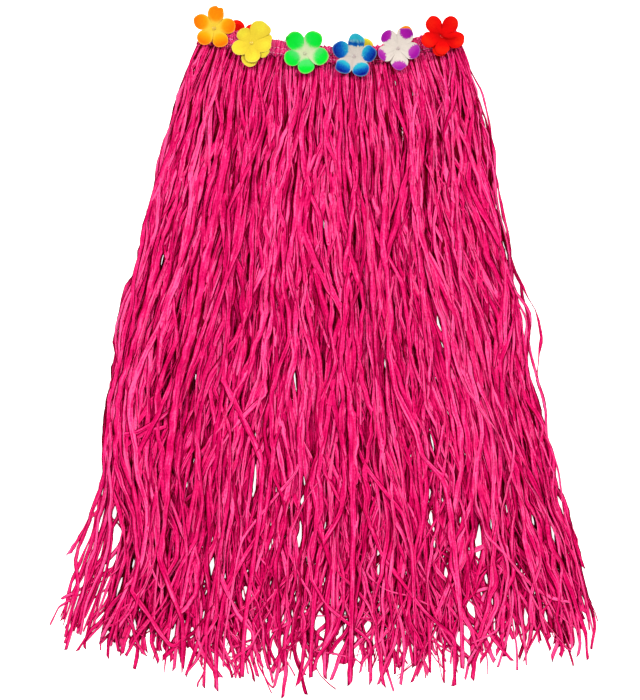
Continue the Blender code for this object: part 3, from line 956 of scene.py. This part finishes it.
def colour_in(p, colour, turn):
    """Where the dye lies and how deep it is, the cut edge, and painted shade in the creases and the notches
    between petals.
    """
    _, out, size, soft, lean, _, _ = STYLES[colour]
    lean = np.array(lean) * p.lobe_radius.mean()
    towards = math.tau / 5 * p.petal + math.radians(turn)
    patch_x = p.x - out * p.centre * np.cos(towards) - lean[0]
    patch_y = p.y - out * p.centre * np.sin(towards) - lean[1]
    patch = np.hypot(patch_x, patch_y) / p.lobe_radius + petal_draw.normal(0, 0.06, 5)[p.petal % 5]
    p.dyed = 1 - ease(size - soft, size + soft, patch)
    outward = (patch_x * np.cos(towards) + patch_y * np.sin(towards)) / p.lobe_radius
    p.depth = 0.5 + 0.45 * outward - 0.30 * patch_y / p.lobe_radius
    p.cut = ease(0.94, 1.0, p.share) * (0.15 if colour == "purple" else 0.45)
    # painted shade in the creases and the notches between petals; a little darker towards the middle
    valley = hump(1 - np.abs(p.off), 0.14) * ease(0.35, 0.9, p.share)
    p.shade = 0.92 - 0.10 * p.crease - 0.16 * valley
    p.shade -= 0.08 * ease(0.40, 0.0, p.share)


def tuck(p, name):
    """The folds that single flowers have, and the painted shade by them and on the layers beneath."""
    x, y = p.x, p.y
    if name == "blue_front":        # its top petal is folded across
        along, aside = turned_to(x, y, 84)
        top = (p.petal % 5 == 1) | ((p.petal % 5 == 2) & (along > 0.012) & (aside < 0.008))
        over = ease(0.0180, 0.0192, along) * top
        under = ease(0.0125, 0.0135, along) * top * (1 - over)
        rim = hump(along - 0.0186, 0.0007) * top
        p.dyed = np.where(top, np.maximum(over, under), p.dyed)
        p.depth = np.where(top, 0.02 * over + 0.38 * under, p.depth)
        p.cut = np.maximum(p.cut, rim)
        # painted shade on the part below the fold
        p.shade -= 0.16 * under
        p.z += 0.0014 * over
    if name == "red_front":         # one petal is tucked in over the middle
        along, aside = turned_to(x - 0.0066, y - 0.0020, -16)
        aside = aside / 0.0054
        oval = np.hypot(along / 0.0100, aside)
        p.z += 0.0020 * ease(1.15, 0.75, oval)
        # painted shadow along the lower left edge of the tucked petal
        for depth, at, width in ((0.40, 1.05, 0.16), (0.15, 1.5, 0.4)):
            p.shade -= depth * hump(oval - at, width) * ease(0.2, -0.5, aside)
    if name == "green_front":       # painted shade where a corner is turned under
        p.shade -= 0.45 * ease(0.0028, 0.0012, np.hypot(x + 0.0235, y - 0.0175))
    # painted shade on a layer that lies beneath another
    if name.endswith("_under"):
        p.shade -= 0.10
    if name == "yellow_front":      # its left petal lies deeper, in shade
        left = ease(0.0105, 0.0165, np.hypot(x, y)) * (p.petal % 5 == 2)
        p.shade -= 0.09 * left
        p.z -= 0.0008 * left


def flower(name, across, up, turn, height, petals):
    """One layer of petals, cut from a single cloth; returns the piece and its area laid flat."""
    colour, where = name.split("_")
    disc = spun([(ring, 0.0) for ring in RINGS], 5 * PETAL_STEPS)
    p = lobed(name, turn, petals, disc)
    stand(p, height >= FRONT_FLOWER)
    colour_in(p, colour, turn)
    tuck(p, name)
    for vert, x, y, z in zip(disc.verts, p.x, p.y, p.z):
        vert.co = (across + x, up + y, height + z)
    for value in ("dyed", "depth", "cut", "shade"):
        layer = disc.verts.layers.float.new(value)
        for vert, number in zip(disc.verts, getattr(p, value)):
            vert[layer] = float(number)
    disc.faces.ensure_lookup_table()
    disc.normal_update()
    if disc.faces[0].normal.z < 0:
        bmesh.ops.reverse_faces(disc, faces=disc.faces[:])
    piece = piece_of(colour + "_flower_" + where, smooth_mesh(colour + "_flower", disc), finishes[colour])
    thicken(piece, "cloth", CLOTH, 1)
    rim = p.share > 0.999
    bearings = np.sort(p.bearing[rim] % math.tau)
    outline = p.reach[rim][np.argsort(p.bearing[rim] % math.tau)]
    area = 0.5 * float((outline**2 * np.diff(np.append(bearings, bearings[0] + math.tau))).sum())
    return piece, area


# The studs: small clear buttons through the flowers' middles, tinted by the cloth behind them.
def stud_finish(colour):
    """Clear plastic over the cloth, nearly unseen on the plain yellow and red."""
    made, shader = start_finish(colour + "_stud")
    cloth = TINTS[colour][0]
    plain = 0.9 if colour in ("yellow", "red") else 0.58
    dark = (1.05 * plain * cloth[0], 0.95 * plain * cloth[1], plain * cloth[2])
    bright = (0.96 * cloth[0], 0.90 * cloth[1], 0.94 * cloth[2])
    tint = ramp(made, mottle(made, 700.0), ((0.35, dark), (0.65, bright)))
    feed(made, shader, {"Base Color": tint, "Roughness": 0.28, "Coat Weight": 0.3})
    return made


BUTTON = (
    # distance out, height: from the middle over the ring and the rim to the flat underside
    (0.0, 0.00062), (0.0008, 0.00060), (0.0011, 0.00046), (0.0014, 0.00060), (0.0019, 0.00052),
    (0.0024, 0.00022), (0.0025, 0.0), (0.0, 0.0),
)


def stud(name, across, up, base, outward):
    """A low button with a ring round its middle: a profile spun round the flower's axis."""
    button = spun(BUTTON, 20)
    turn = Matrix.Identity(4) if outward > 0 else Matrix.Rotation(math.pi, 4, "X")
    button.transform(Matrix.Translation((across, up, base)) @ turn)
    bmesh.ops.recalc_face_normals(button, faces=button.faces[:])
    colour, where = name.split("_")
    mesh = smooth_mesh(colour + "_button", button)
    piece = piece_of(colour + "_button_" + where, mesh, stud_finishes[colour])
    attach(piece, "root")
    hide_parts("stud_" + name)
    return piece


finishes = {colour: petal_finish(colour) for colour in TINTS}
stud_finishes = {colour: stud_finish(colour) for colour in TINTS}
for name, across, up, turn, height, petals in FLOWERS:
    piece, area = flower(name, across, up, turn, height, petals)
    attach(piece, "root")
    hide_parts("flower_" + name)
    in_front = height >= FRONT_FLOWER
    if in_front and not name.endswith("_under"):
        stud(name, across, up, height + CLOTH + STUD_GAP, 1)
    if not in_front:
        stud(name, across, up, height - STUD_DEPTH, -1)


# ------------------------------------------------------------
# Stage: a plain pale floor that the skirt lies on, and soft studio light from both sides. The
# camera stands a little over two metres above the skirt and looks straight down.
# ------------------------------------------------------------
floor_builder = bmesh.new()
bmesh.ops.create_grid(floor_builder, x_segments=1, y_segments=1, size=60)
floor_finish, floor_shader = start_finish("floor")
feed(floor_finish, floor_shader, {
    "Base Color": (0.92, 0.92, 0.92, 1), "Roughness": 0.9,
    "Emission Color": (1, 1, 1, 1), "Emission Strength": 1.0,
})
floor = piece_of("floor", smooth_mesh("floor", floor_builder), floor_finish)

world = bpy.data.worlds.new("studio")
world.use_nodes = True
seen = step(world, "LightPath", {}, "Is Camera Ray")
glow = step(world, "MapRange", {"Value": seen, "To Min": 0.40, "To Max": 1.0})
feed(world, world.node_tree.nodes["Background"], {"Color": (1, 1, 1, 1), "Strength": glow})
bpy.context.scene.world = world


def studio_light(name, towards, strength, softness):
    """A large soft light, far off in the given direction."""
    lamp = bpy.data.lights.new(name, "SUN")
    lamp.energy = strength
    lamp.angle = softness
    set_out(name, lamp).rotation_euler = Vector(towards).to_track_quat("Z", "Y").to_euler()


studio_light("left", (-0.80, 0.42, 1.0), 2.50, math.radians(12))
studio_light("right", (0.80, 0.42, 1.0), 2.50, math.radians(12))
LENS = 85                   # in millimetres, before a 36 mm wide sensor
VIEW = 0.875                # metres across the view, 12 mm above the floor
camera_data = bpy.data.cameras.new("camera")
camera_data.lens = LENS
camera = set_out("camera", camera_data)
camera.location = (0.00125, 0.0019, VIEW * LENS / 36 + 0.012)
bpy.context.scene.camera = camera
bpy.context.scene.view_settings.view_transform = "Standard"
